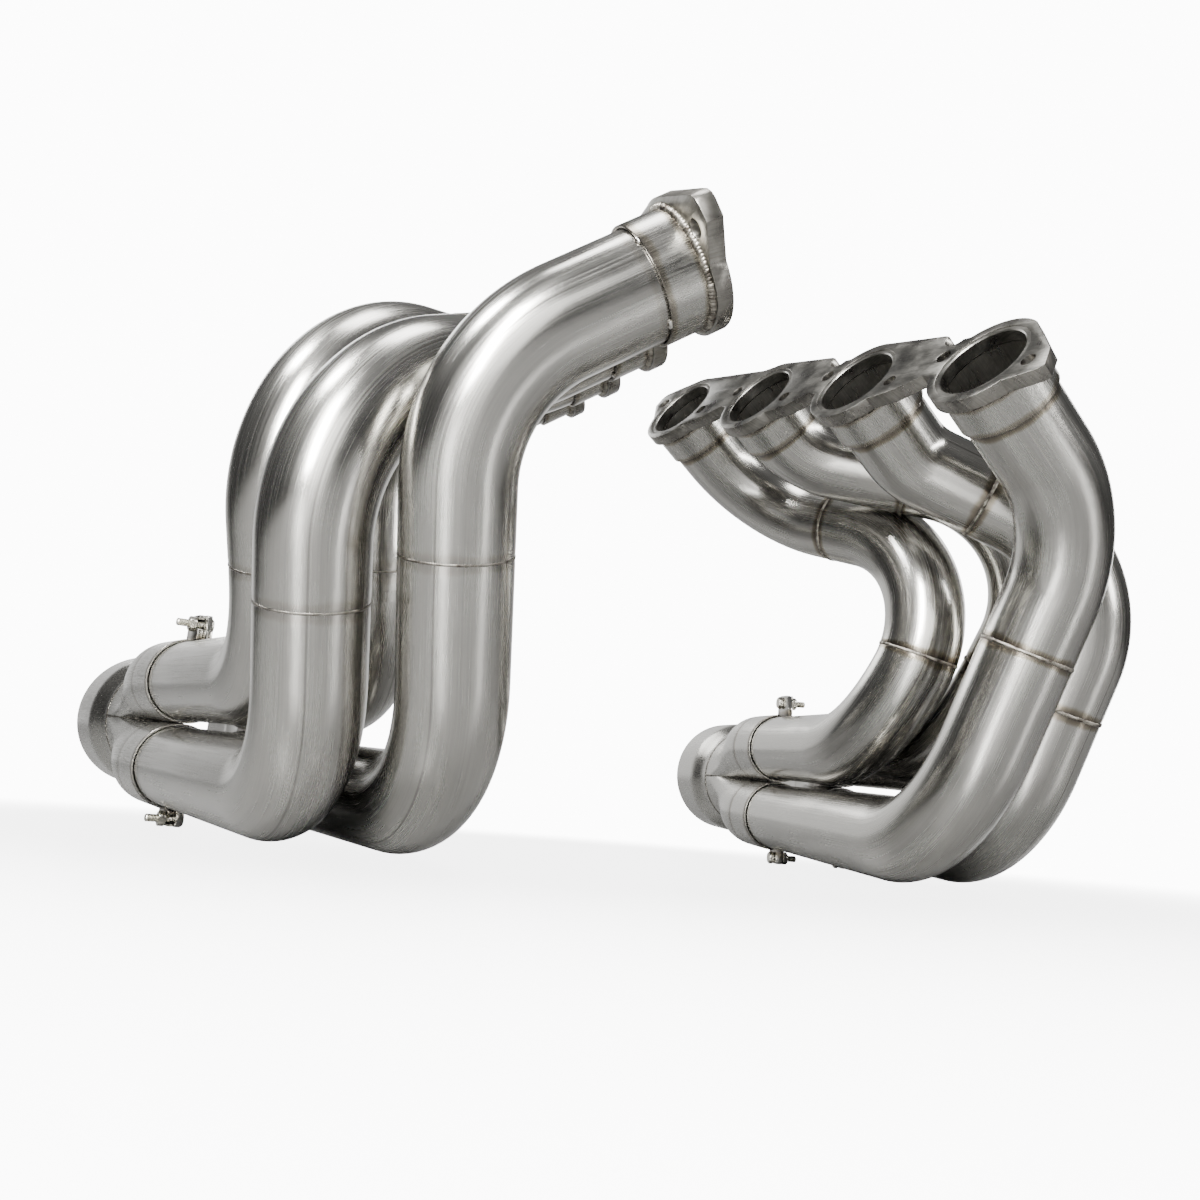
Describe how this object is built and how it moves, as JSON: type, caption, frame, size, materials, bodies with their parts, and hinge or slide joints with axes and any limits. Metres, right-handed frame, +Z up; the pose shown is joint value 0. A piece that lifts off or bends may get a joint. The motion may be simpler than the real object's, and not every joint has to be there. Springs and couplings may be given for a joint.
{
  "type": "racing exhaust system",
  "caption": "Matched pair of four-into-one racing exhaust headers for a V8, each with a scalloped head flange, welded primary tubes and a slip-on merge collector.",
  "frame": {"origin": "middle of the footprint, on the floor that the pair stands on", "axes": "+X rearward along the right header, +Y outward from the engine on the right header, +Z up"},
  "size_m": [0.8404, 0.7736, 0.4132],
  "materials": {
    "flange_plate": "laser-cut plate, lightly scratched",
    "tube": "drawn tube, bare, heat-tinted at the welds",
    "sleeve": "rolled sleeve, bare",
    "collector": "formed sheet, bare",
    "fastener": "zinc-plated hardware"
  },
  "bodies": {
    "right_header": {"right_head_flange": "flange_plate", "right_collar_1": "sleeve", "right_primary_1_inlet_bend": "tube", "right_primary_1_middle_bend": "tube", "right_primary_1_outlet_bend": "tube", "right_clamp_bolt_1": "fastener", "right_clamp_nut_1": "fastener", "right_collar_2": "sleeve", "right_primary_2_inlet_bend": "tube", "right_primary_2_middle_bend": "tube", "right_primary_2_outlet_bend": "tube", "right_clamp_bolt_2": "fastener", "right_clamp_nut_2": "fastener", "right_collar_3": "sleeve", "right_primary_3_inlet_bend": "tube", "right_primary_3_middle_bend": "tube", "right_primary_3_outlet_bend": "tube", "right_clamp_bolt_3": "fastener", "right_clamp_nut_3": "fastener", "right_collar_4": "sleeve", "right_primary_4_inlet_bend": "tube", "right_primary_4_outlet_bend": "tube", "right_clamp_bolt_4": "fastener", "right_clamp_nut_4": "fastener"},
    "right_collector": {"right_cup_1": "sleeve", "right_cup_2": "sleeve", "right_cup_3": "sleeve", "right_cup_4": "sleeve", "right_merge_cone": "collector", "right_outlet": "collector"},
    "left_header": {"left_head_flange": "flange_plate", "left_collar_1": "sleeve", "left_primary_1_inlet_bend": "tube", "left_primary_1_middle_bend": "tube", "left_primary_1_outlet_bend": "tube", "left_clamp_bolt_1": "fastener", "left_clamp_nut_1": "fastener", "left_collar_2": "sleeve", "left_primary_2_inlet_bend": "tube", "left_primary_2_middle_bend": "tube", "left_primary_2_outlet_bend": "tube", "left_clamp_bolt_2": "fastener", "left_clamp_nut_2": "fastener", "left_collar_3": "sleeve", "left_primary_3_inlet_bend": "tube", "left_primary_3_middle_bend": "tube", "left_primary_3_outlet_bend": "tube", "left_clamp_bolt_3": "fastener", "left_clamp_nut_3": "fastener", "left_collar_4": "sleeve", "left_primary_4_inlet_bend": "tube", "left_primary_4_outlet_bend": "tube", "left_clamp_bolt_4": "fastener", "left_clamp_nut_4": "fastener"},
    "left_collector": {"left_cup_1": "sleeve", "left_cup_2": "sleeve", "left_cup_3": "sleeve", "left_cup_4": "sleeve", "left_merge_cone": "collector", "left_outlet": "collector"}
  },
  "joints": [
    {"name": "right_collector_slide", "type": "slide", "parent": "right_header", "child": "right_collector", "axis": [0.9413, 0.3333, 0.0523], "range_m": [0, 0.06]},
    {"name": "left_header_slide", "type": "slide", "parent": "right_header", "child": "left_header", "axis": [0, -1, 0], "range_m": [0, 0.15]},
    {"name": "left_collector_slide", "type": "slide", "parent": "left_header", "child": "left_collector", "axis": [0.9956, -0.0784, 0.0523], "range_m": [0, 0.06]}
  ]
}
